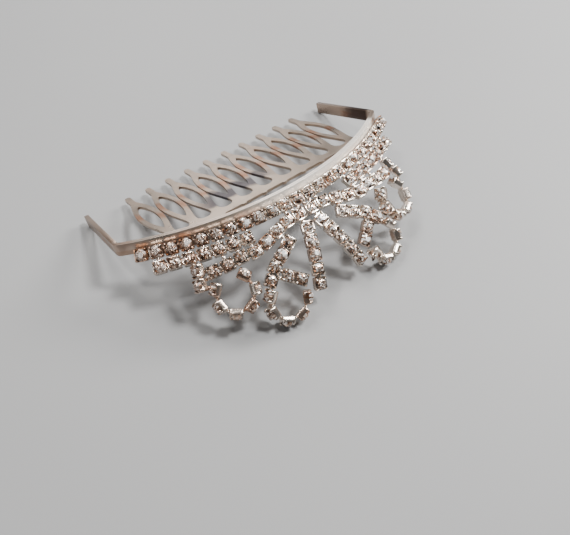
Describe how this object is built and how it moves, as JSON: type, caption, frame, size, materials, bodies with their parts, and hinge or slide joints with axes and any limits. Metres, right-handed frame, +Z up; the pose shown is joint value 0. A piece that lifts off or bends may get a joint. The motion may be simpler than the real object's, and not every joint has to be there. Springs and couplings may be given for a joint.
{
  "type": "rhinestone tiara comb",
  "caption": "Small bridal tiara on a hair comb: a bowed metal band with side prongs and an almond-loop comb behind, and cup-chain rows, sprays and rings of clear stones in front.",
  "frame": {"origin": "centre of the bounding box, on the ground, with the tiara lying on its prong tips and inner rings", "axes": "+X along the width, +Y to the back towards the comb teeth, +Z up"},
  "size_m": [0.0872, 0.0628, 0.019],
  "materials": {
    "silver_frame": "satin silver plating with brownish worn patches",
    "silver_and_stones": "bright silver cups with clear faceted stones"
  },
  "bodies": {
    "root": {"comb_frame": "silver_frame", "band_row": "silver_and_stones", "end_row_left": "silver_and_stones", "end_row_right": "silver_and_stones", "swag_left": "silver_and_stones", "swag_right": "silver_and_stones", "spray_left": "silver_and_stones", "spray_right": "silver_and_stones", "bridge_left": "silver_and_stones", "bridge_right": "silver_and_stones", "centre_drop_left": "silver_and_stones", "centre_drop_right": "silver_and_stones", "end_drop_left": "silver_and_stones", "end_drop_right": "silver_and_stones", "outer_ring_left": "silver_and_stones", "outer_ring_right": "silver_and_stones", "inner_ring_left": "silver_and_stones", "inner_ring_right": "silver_and_stones"}
  },
  "joints": []
}
